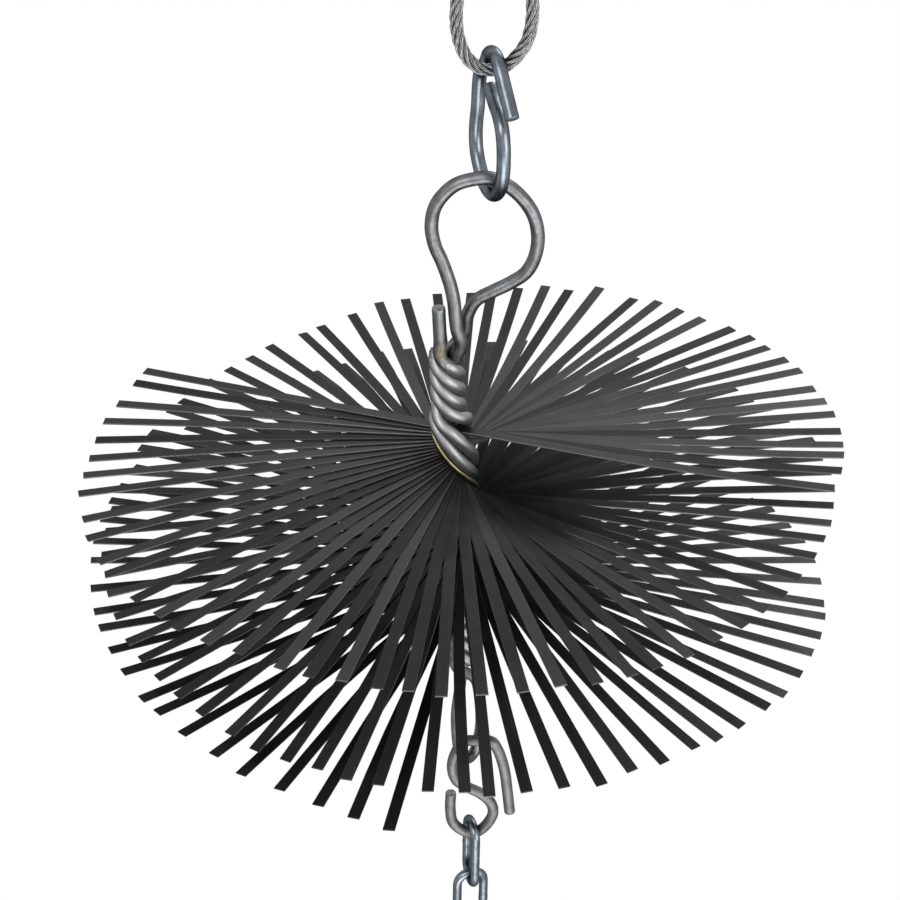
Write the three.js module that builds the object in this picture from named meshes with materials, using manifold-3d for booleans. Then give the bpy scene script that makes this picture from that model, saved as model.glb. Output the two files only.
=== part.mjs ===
// Chimney sweep brush: flat steel strips clamped across a twisted wire core.
// A wire rope eye and an open hook carry the brush, and an S-hook and a chain hang below it.
// Millimetres. +Z is up, the front is towards -Y, and the hand line bears at the origin.

import * as THREE from 'three';
import { mergeVertices } from 'three/addons/utils/BufferGeometryUtils.js';
import Module from 'manifold-3d';

// Driving dimensions
const seatGap = 0.3; // left between touching pieces
const slantGap = 0.7; // between wires that cross aslant, measured where they cross
const wireDiameter = 5; // hooks, eyes and core
const ropeDiameter = 5;

const upperEyeLength = 40; // strand centre at the top to the ferrule
const upperEyeWidth = 22; // between strand centres
const lowerEyeLength = 63.1;
const lowerEyeWidth = 27.3;
const standingLength = 12; // rope between the two ferrules
const ropeTail = 1.5; // cut end standing out of its ferrule
const ferruleLength = 16;
const ferruleWall = 1.8;
const ferruleEdge = 0.8;

const hookLength = 55.9; // wire centre, top bend to bottom bend
const hookBendRadius = 6.2;
const hookLoopRadius = 13;
const hookArmLength = 17.8; // top bend down to the cut end
const hookArmReach = 18.4; // cut end, forward of the hanging line
const hookTurn = THREE.MathUtils.degToRad(22);

const eyeHeight = 75.75; // neck to the top of the eye
const eyeWidth = 40.4;
const brushLean = THREE.MathUtils.degToRad(2.9);

const stubLength = 23; // wire end standing above the neck
const neckPitch = 29.6; // one turn of the bare twist
const upperNeckLength = 35.5;
const lowerNeckLength = 43.5;
const neckTurn = THREE.MathUtils.degToRad(-28); // first eye leg at the top of the neck
const runOut = 3; // past the end strips before the wires close in
const spreadLength = 8; // over which they close in
const legTrim = 3; // how far a leg's cut end stops short of the neck's end

const stripCount = 90;
const stripLength = 300;
const stripWidth = 4.5;
const stripThickness = 0.6;
const stripPitchTop = 0.86; // drop from one strip to the next
const stripPitchBottom = 0.94;
const stripTwistTop = THREE.MathUtils.degToRad(4.92);
const stripTwistBottom = THREE.MathUtils.degToRad(5.47);
const stripTiltTop = THREE.MathUtils.degToRad(0.7);
const stripTiltBottom = THREE.MathUtils.degToRad(7.2);
const stripShiftTop = -3.5; // strips clamped off centre, towards the lower arm
const stripShiftBottom = 6.6;
const roundAcross = 1.2; // middle of the round of tips, beside the core
const roundBack = 1.8;
const backingRadius = 1.7; // slim core that joins the strips of one pack
const packCount = 4;
const packingDiameter = 1; // brass wire beside the strips

const lowLoopLength = 54; // end of the lower neck to the bottom of the lower eye
const lowLoopWidth = 17;
const lowLoopRadius = 5;
const lowSeatRise = 10.1; // S-hook bar above the bottom of the lower eye

const swivelLength = 57.1; // S-hook, bar to the bottom bend
const swivelWidth = 27.9; // S-hook, across both hooks
const swivelTurn = THREE.MathUtils.degToRad(-10);
const swivelSeat = 1.7; // where the chain hangs, beside the bar

const linkWire = 4.2;
const linkPitch = 32; // inner length of a link
const linkWidth = 17; // outer
const linkCount = 3;
const linkTurn = THREE.MathUtils.degToRad(17);

// Facets
const wireSides = 8;
const thinSides = 6;
const wireStep = 3.6;
const backingSides = 6;
const linkRings = 24;

// Worked out from the sizes above
const wireRadius = wireDiameter / 2;
const ropeRadius = ropeDiameter / 2;
const twinOffset = (ropeDiameter + seatGap) / 2; // half the distance of two rope strands
const lowerEyeBottom = ropeRadius - upperEyeLength - standingLength - lowerEyeLength - 2 * ferruleLength;
const hookTop = lowerEyeBottom + ropeRadius + wireRadius + 1.7 * slantGap;
const hookBottom = hookTop - hookLength;
const eyeTop = hookBottom + wireDiameter + 1.6 * slantGap;
const neckTwist = 2 * Math.PI / neckPitch;
const lastStrip = stripCount - 1;

function stripDrop(index) {
  return stripPitchTop * index + (stripPitchBottom - stripPitchTop) * index * index / (2 * stripCount);
}

function stripTurn(index) {
  return stripTwistTop * index + (stripTwistBottom - stripTwistTop) * index * index / (2 * stripCount);
}

// Turn of the core over a length past the end strips.
function pastTurn(length, stripTwist) {
  return stripTwist * Math.min(length, runOut) + neckTwist * Math.max(length - runOut, 0);
}

const topTwist = stripTwistTop / stripPitchTop;
const bottomTwist = stripTwistBottom / stripPitchBottom;
const stackHeight = stripDrop(lastStrip);
const coreBottom = -stackHeight - lowerNeckLength;
const firstArmTurn = neckTurn - Math.PI / 4 + pastTurn(upperNeckLength, topTwist);
const lastArmTurn = firstArmTurn + stripTurn(lastStrip);
const loopTurn = lastArmTurn + pastTurn(lowerNeckLength, bottomTwist);

const finish = {
  rope: new THREE.MeshStandardMaterial({ color: 0x8b8d90, roughness: 0.4, metalness: 0.9 }),
  aluminium: new THREE.MeshStandardMaterial({ color: 0xb9bcc0, roughness: 0.35, metalness: 0.9 }),
  zinc: new THREE.MeshStandardMaterial({ color: 0x8a929c, roughness: 0.32, metalness: 0.9 }),
  wire: new THREE.MeshStandardMaterial({ color: 0x84868a, roughness: 0.42, metalness: 0.85 }),
  strip: new THREE.MeshStandardMaterial({ color: 0x2b2b2d, roughness: 0.5, metalness: 0.6 }),
  brass: new THREE.MeshStandardMaterial({ color: 0xb49a4e, roughness: 0.4, metalness: 0.9 }),
};

// Shapes

function roundSection(radius, sides) {
  const corners = [];
  for (let i = 0; i < sides; i += 1) {
    const angle = 2 * Math.PI * i / sides;
    corners.push(new THREE.Vector2(radius * Math.cos(angle), radius * Math.sin(angle)));
  }
  return new THREE.Shape(corners);
}

function tube(points, diameter, sides = wireSides, step = wireStep) {
  const route = new THREE.CatmullRomCurve3(points, false, 'centripetal');
  route.arcLengthDivisions = points.length * sides * sides;
  const steps = Math.ceil(route.getLength() / step);
  return new THREE.ExtrudeGeometry(roundSection(diameter / 2, sides), {
    steps, extrudePath: route, bevelEnabled: false,
  });
}

function arc(x, z, radius, from, to, count) {
  const points = [];
  for (let i = 0; i <= count; i += 1) {
    const angle = THREE.MathUtils.degToRad(from + (to - from) * i / count);
    points.push([x + radius * Math.cos(angle), z + radius * Math.sin(angle)]);
  }
  return points;
}

// Puts an outline of [across, up] pairs on an upright plane turned about Z.
function upright(outline, turn = 0, x = 0, y = 0, z = 0) {
  return outline.map(([across, up]) => new THREE.Vector3(
    x + across * Math.cos(turn), y + across * Math.sin(turn), z + up));
}

function named(name, geometry, material) {
  const mesh = new THREE.Mesh(geometry, material);
  mesh.name = name;
  return mesh;
}

// Wire rope: both eyes and the standing part are one rope.

// Shares of an eye's half width and length. The lower eye sags a little to its left.
const lowerEyeShares = [[0.22, 0.9], [0.62, 0.68], [0.94, 0.46]];
const lowerRightShares = [...lowerEyeShares, [0.98, 0.31], [0.87, 0.18], [0.615, 0.085], [0.31, 0.023]];
const lowerLeftShares = [...lowerEyeShares, [1, 0.31], [0.92, 0.178], [0.69, 0.068], [0.36, 0.01]];
const upperEyeShares = [[0.35, 0.12], [0.78, 0.36], [1, 0.66], [0.86, 0.87], [0.5, 0.975]];

function ropeRoute() {
  const lowerFerrule = lowerEyeBottom + lowerEyeLength;
  const upperFerrule = lowerFerrule + ferruleLength + standingLength;
  const lowerHalf = (shares) => shares.map(([wide, high]) => [
    wide * lowerEyeWidth / 2, lowerEyeBottom + high * lowerEyeLength]);
  const upperHalf = upperEyeShares.map(([wide, high]) => [
    wide * upperEyeWidth / 2, upperFerrule + ferruleLength + high * upperEyeLength]);
  const mirrored = (half) => half.map(([x, z]) => [-x, z]).reverse();
  return [
    [twinOffset, lowerFerrule + ferruleLength + ropeTail],
    [twinOffset, lowerFerrule + ferruleLength / 2],
    [twinOffset, lowerFerrule],
    ...lowerHalf(lowerRightShares),
    [0, lowerEyeBottom],
    ...mirrored(lowerHalf(lowerLeftShares)),
    [-twinOffset, lowerFerrule],
    [-twinOffset, lowerFerrule + ferruleLength],
    [-twinOffset, upperFerrule],
    [-twinOffset, upperFerrule + ferruleLength],
    ...mirrored(upperHalf).reverse(),
    [0, ropeRadius],
    ...upperHalf.reverse(),
    [twinOffset, upperFerrule + ferruleLength],
    [twinOffset, upperFerrule + ferruleLength / 2],
    [twinOffset, upperFerrule - ropeTail],
  ];
}

// A slot outline with round ends, as deep as it is thick.
function slotOutline(radius, halfLength, Kind) {
  const outline = new Kind();
  outline.absarc(halfLength, 0, radius, -Math.PI / 2, Math.PI / 2, false);
  outline.absarc(-halfLength, 0, radius, Math.PI / 2, 3 * Math.PI / 2, false);
  return outline;
}

function ferrule() {
  const bore = ropeRadius + seatGap;
  const sleeve = slotOutline(bore + ferruleWall - ferruleEdge, twinOffset, THREE.Shape);
  sleeve.holes.push(slotOutline(bore + ferruleEdge, twinOffset, THREE.Path));
  const geometry = new THREE.ExtrudeGeometry(sleeve, {
    depth: ferruleLength - 2 * ferruleEdge, curveSegments: thinSides,
    bevelThickness: ferruleEdge, bevelSize: ferruleEdge, bevelSegments: 2,
  });
  return geometry.translate(0, 0, ferruleEdge);
}

// Top hook: an open hook over a loop that closes on its own spine.

// Shares of the loop's radius across and of the hook's length up.
const hookSpineShares = [
  [-0.64, 0.862], [-0.915, 0.785], [-1.02, 0.66], [-1.06, 0.524], [-1.16, 0.4], [-1.18, 0.3],
];
const hookBottomShares = [
  [-1.12, 0.215], [-0.98, 0.145], [-0.73, 0.075], [-0.42, 0.018], [-0.12, 0], [0.17, 0.006], [0.5, 0.052],
  [0.74, 0.13], [0.86, 0.22],
];
const hookLapShares = [[0.89, 0.33], [0.84, 0.45], [0.7, 0.545]];
// The lap's end passes beside the spine, by shares of the wire's radius.
const hookEndShares = [[0.38, 0.605], [-0.1, 0.64], [-0.62, 0.712]];
const hookAsideShares = [0.2, 0.55, 0.9];

function topHookRoute() {
  const scaled = (shares) => shares.map(([wide, high]) => [wide * hookLoopRadius, high * hookLength]);
  const armTop = hookLength - hookBendRadius;
  const outline = [
    [hookArmReach, hookLength - hookArmLength],
    [0.6 * hookArmReach, hookLength - 0.53 * hookArmLength],
    ...arc(0, armTop, hookBendRadius, -5, 165, 6),
    ...scaled(hookSpineShares),
    ...scaled(hookBottomShares),
    ...scaled(hookLapShares),
    ...scaled(hookEndShares),
  ];
  const route = upright(outline, hookTurn - Math.PI / 2, 0, 0, hookBottom);
  const beside = new THREE.Vector3(Math.cos(hookTurn), Math.sin(hookTurn), 0);
  hookAsideShares.forEach((share, i) => {
    route[i - hookAsideShares.length + route.length].addScaledVector(beside, share * wireRadius);
  });
  return route;
}

// Twisted core

// Half the angle between the two wires on one side, measured from the strips.
const neckSpread = Math.PI / 4;
const stripSpread = Math.PI / 3;

// Radius at which neighbouring wires of a twist just clear each other.
function clearRadius(diameter, twist, between) {
  let radius = diameter / 2;
  let nearest = 0;
  while (nearest < diameter + seatGap) {
    radius += seatGap / 10;
    nearest = Infinity;
    for (let share = 0; share < 1; share += 1 / 24) {
      const angle = between * (1 - share);
      const chord = 2 * radius * Math.sin(angle / 2);
      nearest = Math.min(nearest, Math.hypot(chord, between * share / twist));
    }
  }
  return radius;
}

const neckRadius = clearRadius(wireDiameter + seatGap / 2, neckTwist, Math.PI / 2);

function stripRadius() {
  const first = (stripWidth / 2 + wireRadius) / Math.sin(stripSpread);
  const tiltShift = first * Math.sin(stripTiltBottom) * topTwist * first;
  const slope = first * topTwist * Math.cos(stripSpread);
  const half = stripWidth / 2 + wireRadius * Math.hypot(1, slope) + 1.7 * seatGap + tiltShift;
  const pairRadius = clearRadius(wireDiameter, topTwist, Math.PI - 2 * stripSpread);
  return Math.max(half / Math.sin(stripSpread), pairRadius);
}

const coreRadius = stripRadius();

// Height and turn of the strips' line, from the top of the upper neck down.
function coreStations() {
  const stations = [];
  const neckStations = (length) => {
    const count = Math.ceil(length * neckTwist / (Math.PI / 6));
    return Array.from({ length: count + 1 }, (_, i) => length * i / count);
  };
  for (const past of neckStations(upperNeckLength).reverse()) {
    stations.push({ z: past, turn: firstArmTurn - pastTurn(past, topTwist) });
  }
  for (let index = 3; index < lastStrip - 1; index += 3) {
    stations.push({ z: -stripDrop(index), turn: firstArmTurn + stripTurn(index) });
  }
  for (const past of neckStations(lowerNeckLength)) {
    stations.push({ z: -stackHeight - past, turn: lastArmTurn + pastTurn(past, bottomTwist) });
  }
  return stations;
}

function wirePoint(station, side, along) {
  const beyond = Math.max(station.z, -stackHeight - station.z, 0);
  const opening = 1 - THREE.MathUtils.smoothstep(beyond, runOut, runOut + spreadLength);
  const radius = THREE.MathUtils.lerp(neckRadius, coreRadius, opening);
  const spread = THREE.MathUtils.lerp(neckSpread, stripSpread, opening);
  const angle = station.turn + side * Math.PI + along * spread;
  return new THREE.Vector3(radius * Math.cos(angle), radius * Math.sin(angle), station.z);
}

// One leg of a twisted wire: side 0 or 1 of the strips' line, before (-1) or after (+1) it.
function legPoints(side, along, top, bottom) {
  return coreStations()
    .filter((station) => station.z <= top && station.z >= bottom)
    .map((station) => wirePoint(station, side, along));
}

// Eye wire, from the neck up the left leg, over the eye and down the right leg.
// Shares of the eye's width and height, and of the wire's radius for the depth.
const eyeShares = [
  [0.105, -1.35, 0.075], [0.068, -1.6, 0.169], [0.047, -1.1, 0.3375], [0.017, -0.65, 0.427],
  [-0.05, -0.2, 0.55], [-0.106, 0, 0.632], [-0.13, 0, 0.745], [-0.077, 0, 0.863], [0.1, 0, 0.967],
  [0.29, 0, 0.9985], [0.44, 0, 1], [0.643, 0, 0.933], [0.812, 0, 0.806], [0.863, 0, 0.675],
  [0.833, 0, 0.557], [0.744, 0.2, 0.46], [0.598, 0.45, 0.399], [0.41, 0.7, 0.343], [0.258, 0.95, 0.291],
  [0.175, 1.1, 0.209], [0.13, 1.35, 0.0995],
];
const eyeSeatShares = [0.44, 1];

function eyeWireRoute() {
  const eye = eyeShares.map(([wide, deep, high]) => new THREE.Vector3(
    wide * eyeWidth, deep * wireRadius, upperNeckLength + high * eyeHeight));
  const bottom = coreBottom + legTrim;
  const left = legPoints(0, 1, upperNeckLength, bottom);
  const right = legPoints(1, -1, upperNeckLength, bottom);
  return [...left.reverse(), ...eye, ...right];
}

// Lower eye wire: its stub above the neck, the core, the lower eye, and its other leg cut off short.

// Shares of the lower eye's half width and of its height.
const lowLoopShares = [[0.62, 0.79], [0.93, 0.605], [1, 0.4], [0.92, 0.22]];

function lowerLoopPoints() {
  const half = lowLoopWidth / 2;
  const rise = lowLoopLength;
  const side = lowLoopShares.map(([wide, high]) => [wide * half, high * rise]);
  const left = side.map(([x, z]) => [-x, z]);
  const outline = [...left, ...arc(0, lowLoopRadius, lowLoopRadius, 190, 350, 6), ...side.reverse()];
  return upright(outline, loopTurn + Math.PI, 0, 0, coreBottom - lowLoopLength);
}

function lowerEyeWireRoute() {
  const top = legPoints(0, -1, upperNeckLength, upperNeckLength - seatGap)[0];
  const stubEnd = new THREE.Vector3(-1.6 * wireRadius, -1.45 * wireRadius, upperNeckLength + stubLength);
  const stubFoot = stubEnd.clone().lerp(top, 0.6).setX(stubEnd.x);
  const first = legPoints(0, -1, upperNeckLength, coreBottom);
  const second = legPoints(1, 1, upperNeckLength, coreBottom);
  return [stubEnd, stubFoot, ...first, ...lowerLoopPoints().reverse(), ...second.reverse()];
}

// Brass packing wire, laid beside the strips on the side of the raised arm.
function packingRoute() {
  const beside = (stripWidth + packingDiameter) / 2 + 4.2 * seatGap;
  const wireBeside = coreRadius * Math.sin(stripSpread);
  const reach = wireRadius * 1.2 + packingDiameter / 2 + 1.5 * seatGap;
  const out = coreRadius * Math.cos(stripSpread) + Math.sqrt(reach ** 2 - (wireBeside - beside) ** 2);
  const radius = Math.hypot(out, beside);
  const points = [];
  for (let index = 0; index <= lastStrip; index += 3) {
    const angle = firstArmTurn + stripTurn(index) + Math.PI + Math.atan2(beside, out);
    points.push(new THREE.Vector3(radius * Math.cos(angle), radius * Math.sin(angle), -stripDrop(index)));
  }
  return points;
}

// Strips

const wasm = await Module();
wasm.setup();

function toSolid(geometry) {
  const bare = geometry.index ? geometry.toNonIndexed() : geometry.clone();
  bare.deleteAttribute('normal');
  bare.deleteAttribute('uv');
  const merged = mergeVertices(bare, 1e-5);
  return new wasm.Manifold(new wasm.Mesh({
    numProp: 3,
    vertProperties: Float32Array.from(merged.attributes.position.array),
    triVerts: Uint32Array.from(merged.index.array),
  }));
}

function toGeometry(solid) {
  const mesh = solid.getMesh();
  const geometry = new THREE.BufferGeometry();
  geometry.setAttribute('position', new THREE.BufferAttribute(Float32Array.from(mesh.vertProperties), 3));
  geometry.setIndex(new THREE.BufferAttribute(Uint32Array.from(mesh.triVerts), 1));
  const loose = geometry.toNonIndexed();
  loose.computeVertexNormals();
  return loose;
}

function stripSolid(index) {
  const share = index / lastStrip;
  const turn = firstArmTurn + stripTurn(index);
  const offCentre = roundAcross * Math.cos(turn) + roundBack * Math.sin(turn);
  const shift = THREE.MathUtils.lerp(stripShiftTop, stripShiftBottom, share) - offCentre;
  const strip = new THREE.BoxGeometry(stripLength, stripWidth, stripThickness);
  strip.translate(-shift, 0, 0);
  strip.rotateY(THREE.MathUtils.lerp(stripTiltTop, stripTiltBottom, share));
  strip.rotateZ(turn);
  strip.translate(0, 0, -stripDrop(index));
  return toSolid(strip);
}

// Strips of one pack, fused to a slice of backing between the wires.
function stripPack(first, last) {
  const height = stripDrop(last) - stripDrop(first);
  const backing = new THREE.CylinderGeometry(backingRadius, backingRadius, height, backingSides);
  backing.rotateX(Math.PI / 2);
  backing.translate(0, 0, -(stripDrop(first) + stripDrop(last)) / 2);
  let pack = toSolid(backing);
  for (let index = first; index <= last; index += 1) {
    pack = pack.add(stripSolid(index));
  }
  return toGeometry(pack);
}

// S-hook: the free leg, the bar in the lower eye, the turn back and the lower hook.
const swivelShares = [
  [0.686, -0.707], [0.629, -0.461], [0.59, -0.307], [0.535, -0.179], [0.455, -0.061], [0.36, 0.012],
  [0.22, 0.010], [0.09, 0], [-0.04, -0.012], [-0.145, -0.061], [-0.22, -0.149], [-0.278, -0.297],
  [-0.21, -0.441], [-0.045, -0.499], [0.2, -0.553], [0.366, -0.635], [0.412, -0.733], [0.349, -0.843],
  [0.2, -0.955], [0.06, -1], [-0.1, -0.98], [-0.25, -0.912], [-0.298, -0.774], [-0.295, -0.587],
];

function swivelRoute() {
  return upright(swivelShares.map(([wide, high]) => [wide * swivelWidth, high * swivelLength]), swivelTurn);
}

// Chain link: a ring of round wire, drawn out along Z from its top centre down.
function linkGeometry() {
  const bendRadius = (linkWidth - linkWire) / 2;
  const ring = new THREE.TorusGeometry(bendRadius, linkWire / 2, wireSides, linkRings);
  ring.rotateZ(Math.PI / linkRings);
  const straight = (linkPitch + linkWire) / 2 - bendRadius;
  const place = ring.attributes.position;
  for (let i = 0; i < place.count; i += 1) {
    place.setY(i, place.getY(i) + Math.sign(place.getY(i)) * straight);
  }
  return ring.rotateX(Math.PI / 2).translate(0, 0, -(linkPitch + linkWire) / 2);
}

// Assembly

const assembly = new THREE.Group();

assembly.add(named('rope', tube(upright(ropeRoute()), ropeDiameter, wireSides, 4.2), finish.rope));

const ferruleHeights = {
  ferrule_lower: lowerEyeBottom + lowerEyeLength,
  ferrule_upper: lowerEyeBottom + lowerEyeLength + ferruleLength + standingLength,
};
for (const [name, height] of Object.entries(ferruleHeights)) {
  const sleeve = named(name, ferrule(), finish.aluminium);
  sleeve.position.z = height;
  assembly.add(sleeve);
}

assembly.add(named('top_hook', tube(topHookRoute(), wireDiameter), finish.zinc));

const brush = new THREE.Group();
brush.add(named('eye_wire', tube(eyeWireRoute(), wireDiameter), finish.wire));
brush.add(named('lower_eye_wire', tube(lowerEyeWireRoute(), wireDiameter), finish.wire));
brush.add(named('packing_wire', tube(packingRoute(), packingDiameter, thinSides), finish.brass));
for (let pack = 0; pack < packCount; pack += 1) {
  const first = Math.round(stripCount * pack / packCount);
  const last = Math.round(stripCount * (pack + 1) / packCount) - 1;
  brush.add(named(`strip_pack_${pack + 1}`, stripPack(first, last), finish.strip));
}
brush.rotation.y = -brushLean;
const eyeSeat = new THREE.Vector3(
  eyeSeatShares[0] * eyeWidth, 0, upperNeckLength + eyeSeatShares[1] * eyeHeight);
brush.position.copy(eyeSeat.applyEuler(brush.rotation).negate());
brush.position.z += eyeTop;
assembly.add(brush);

const swivel = new THREE.Group();
brush.updateMatrix();
swivel.position.set(0, 0, coreBottom - lowLoopLength + lowSeatRise).applyMatrix4(brush.matrix);
swivel.add(named('s_hook', tube(swivelRoute(), wireDiameter), finish.wire));
assembly.add(swivel);

const chain = new THREE.Group();
chain.position.copy(upright([[swivelSeat, -swivelLength]], swivelTurn)[0]).add(swivel.position);
chain.position.z += wireRadius + linkWire / 2 + 3 * slantGap;
for (let i = 0; i < linkCount; i += 1) {
  const link = named(`chain_link_${i + 1}`, linkGeometry(), finish.zinc);
  link.position.z = -i * (linkPitch - seatGap);
  link.rotation.z = linkTurn + (i % 2 === 0 ? Math.PI / 2 : 0);
  chain.add(link);
}
assembly.add(chain);

export default assembly;
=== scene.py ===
# Chimney sweep brush: laid rope eye, bent wire hooks, twisted core, flat steel strips and chain.
import math
import random

import bmesh
import bpy
from mathutils import Matrix, Vector, noise


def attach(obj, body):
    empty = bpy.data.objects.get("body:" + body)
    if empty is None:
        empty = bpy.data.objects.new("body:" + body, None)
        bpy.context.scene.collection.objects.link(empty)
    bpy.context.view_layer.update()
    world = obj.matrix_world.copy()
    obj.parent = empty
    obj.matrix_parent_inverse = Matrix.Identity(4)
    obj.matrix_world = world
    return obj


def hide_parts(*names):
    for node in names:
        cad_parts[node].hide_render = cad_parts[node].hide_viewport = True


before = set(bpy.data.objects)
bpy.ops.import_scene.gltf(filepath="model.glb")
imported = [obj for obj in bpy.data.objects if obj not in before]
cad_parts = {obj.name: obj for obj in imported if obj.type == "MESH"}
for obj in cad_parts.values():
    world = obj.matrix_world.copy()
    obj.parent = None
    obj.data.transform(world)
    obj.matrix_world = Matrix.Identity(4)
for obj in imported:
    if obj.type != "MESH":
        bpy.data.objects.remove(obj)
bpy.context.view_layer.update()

# Sizes in metres and turns in radians, which repeat those of the solids. An arc is given as
# (start, end, steps), in degrees.
SEAT_GAP = 0.0003
SLANT_GAP = 0.0007
WIRE = 0.005
ROPE = 0.005
CLEARANCE_SAMPLES = 24

UPPER_EYE = (0.022, 0.040)
LOWER_EYE = (0.0273, 0.0631)
STANDING = 0.012
ROPE_TAIL = 0.0015
FERRULE_LENGTH = 0.016
FERRULE_WALL = 0.0018

HOOK_LENGTH = 0.0559
HOOK_BEND = 0.0062
HOOK_LOOP = 0.013
HOOK_ARM = (0.0184, 0.0178)
HOOK_TURN = math.radians(22)
HOOK_BEND_ARC = (40, 165, 5)
HOOK_CLEAR = 1.7 * SLANT_GAP
LAP_ASIDE = (0.2, 0.55, 0.9)

EYE_SIZE = (0.0404, 0.07575)
EYE_HANGS_AT = 0.44
EYE_CLEAR = 1.6 * SLANT_GAP
BRUSH_LEAN = math.radians(2.9)
STUB = 0.023
STUB_ASIDE = (-1.6, -1.45)
STUB_FOOT = 0.6
NECK_PITCH = 0.0296
UPPER_NECK = 0.0355
LOWER_NECK = 0.0435
NECK_TURN = math.radians(-28)
RUN_OUT = 0.003
SPREAD_LENGTH = 0.008
LEG_TRIM = 0.003
NECK_SPREAD = math.radians(45)
STRIP_SPREAD = math.radians(60)
NECK_STATION = math.radians(30)
STATION_STRIPS = 3

STRIPS = 90
PACKS = 4
STRIP_SIZE = (0.300, 0.0045, 0.0006)
STRIP_PITCH = (0.00086, 0.00094)
STRIP_TWIST = (math.radians(4.92), math.radians(5.47))
STRIP_TILT = (math.radians(0.7), math.radians(7.2))
STRIP_SHIFT = (-0.0035, 0.0066)
STRIP_CLEAR = 1.7 * SEAT_GAP
ROUND_MIDDLE = Vector((0.0012, 0.0018, 0))
PACKING = 0.001
PACKING_FROM_STRIP = 4.2 * SEAT_GAP
PACKING_FROM_WIRE = 1.5 * SEAT_GAP
SLANTED_WIRE = 1.2

LOW_LOOP = (0.017, 0.054)
LOW_LOOP_RADIUS = 0.005
LOW_LOOP_ARC = (190, 350, 6)
LOW_SEAT = 0.0101

SWIVEL_SIZE = (0.0279, 0.0571)
SWIVEL_TURN = math.radians(-10)
SWIVEL_SEAT = 0.0017

LINK_WIRE = 0.0042
LINK_PITCH = 0.032
LINK_WIDTH = 0.017
LINKS = 3
LINK_TURN = math.radians(17)
LINK_CLEAR = 3 * SLANT_GAP

# Sizes and bends that only the dressed model has
ROUND_SIDES = 20
ROUND_STEP = 0.0015
CURVE_SAMPLES = 16
FLAT_TOPPED = 4
END_EDGE = 0.00035
CORE_WIRE = WIRE + SEAT_GAP
HOOK_WIRE = WIRE + SEAT_GAP
LOOP_MIDDLE = 0.525
LOOP_REACH = 0.13
NECK_SQUEEZE = 0.0006
NECK_BEND = Vector((-0.0019, 0, 0))
BEND_FROM = -0.008
BEND_OVER = 0.018
PACKING_ROUND = 0.0015
PACKING_SIDES = 12
PACKING_OUT = 0.0005
PACKING_ABOVE = 4

ROPE_STEP = 0.001
ROPE_STRANDS = 6
STRAND_WIRES = 6
STRAND_LAY = 0.029
WIRE_LAY = 0.0105
WIRE_MIDDLE = 0.66
WIRE_THICK = 0.34
FERRULE_SIDES = 48
FERRULE_CUTS = 9
FERRULE_EDGE = 0.0006
FERRULE_WAIST = 0.0002
WAIST_POWER = 6
FERRULE_RIDGE = 0.00018
LINK_BEND_STEPS = 12
LINK_WELD = 0.07
LINK_WELD_REACH = 0.012
LINK_ROUGH = 0.00004
LINK_ROUGH_SCALE = 700

STRIP_EDGE = 0.00011
STRIP_CUTS = 11
STRIP_SEED = 7
STRIP_STRAIGHT = 0.05
STRIP_STRAY = math.radians(0.45)
STRIP_UNEVEN = 0.0006
STRIP_BEND = 0.0008
STRIP_SWAY = 0.0010
STRIP_ROLL = math.radians(2.0)
LOOSE_STRIPS = 5.0
LOOSE_SLIDE = 0.0075
LOOSE_DROOP = 0.0045
BACK_DROOP = 0.018
BACK_MIDDLE = 56
BACK_SPAN = 14
FIRST_LIFT = 0.0052
FIRST_LIFT_STRIPS = 3

# Longer and shorter arms. A start or stop is (at which strip, over how many strips).
FIRST_SHORT = 0.0068
FIRST_SHORT_STOP = (0, 4)
FRONT_LONG = 0.0070
FRONT_LONG_START = (3.5, 5)
FRONT_LONG_STOP = (13.5, 5)
LOW_LONG = 0.0060
LOW_LONG_START = (62, 9)
LOW_LONG_STOP = (76, 5)

# Sizes that follow from those above
WIRE_RADIUS = WIRE / 2
ROPE_RADIUS = ROPE / 2
TWIN = (ROPE + SEAT_GAP) / 2
LOWER_EYE_BOTTOM = ROPE_RADIUS - UPPER_EYE[1] - STANDING - LOWER_EYE[1] - 2 * FERRULE_LENGTH
LOWER_FERRULE = LOWER_EYE_BOTTOM + LOWER_EYE[1]
UPPER_FERRULE = LOWER_FERRULE + FERRULE_LENGTH + STANDING
HOOK_BOTTOM = LOWER_EYE_BOTTOM + ROPE_RADIUS + WIRE_RADIUS + HOOK_CLEAR - HOOK_LENGTH
EYE_TOP = HOOK_BOTTOM + WIRE + EYE_CLEAR


# Routes of the bent wires

def smooth_route(points, step):
    """Evenly spaced points along a centripetal Catmull-Rom curve through the given ones."""
    points = [Vector(p) for p in points]
    ends = [2 * points[0] - points[1], 2 * points[-1] - points[-2]]
    padded = [ends[0], *points, ends[1]]
    fine = []
    for before, start, end, after in zip(padded, padded[1:], padded[2:], padded[3:]):
        spans = [max((b - a).length, 1e-9) ** 0.5
                 for a, b in ((before, start), (start, end), (end, after))]
        leave = ((start - before) / spans[0] - (end - before) / (spans[0] + spans[1])
                 + (end - start) / spans[1]) * spans[1]
        arrive = ((end - start) / spans[1] - (after - start) / (spans[1] + spans[2])
                  + (after - end) / spans[2]) * spans[1]
        for k in range(CURVE_SAMPLES):
            t = k / CURVE_SAMPLES
            fine.append(start + leave * t + (3 * (end - start) - 2 * leave - arrive) * t * t
                        + (2 * (start - end) + leave + arrive) * t ** 3)
    fine.append(points[-1])
    return spaced(fine, step)


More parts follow.
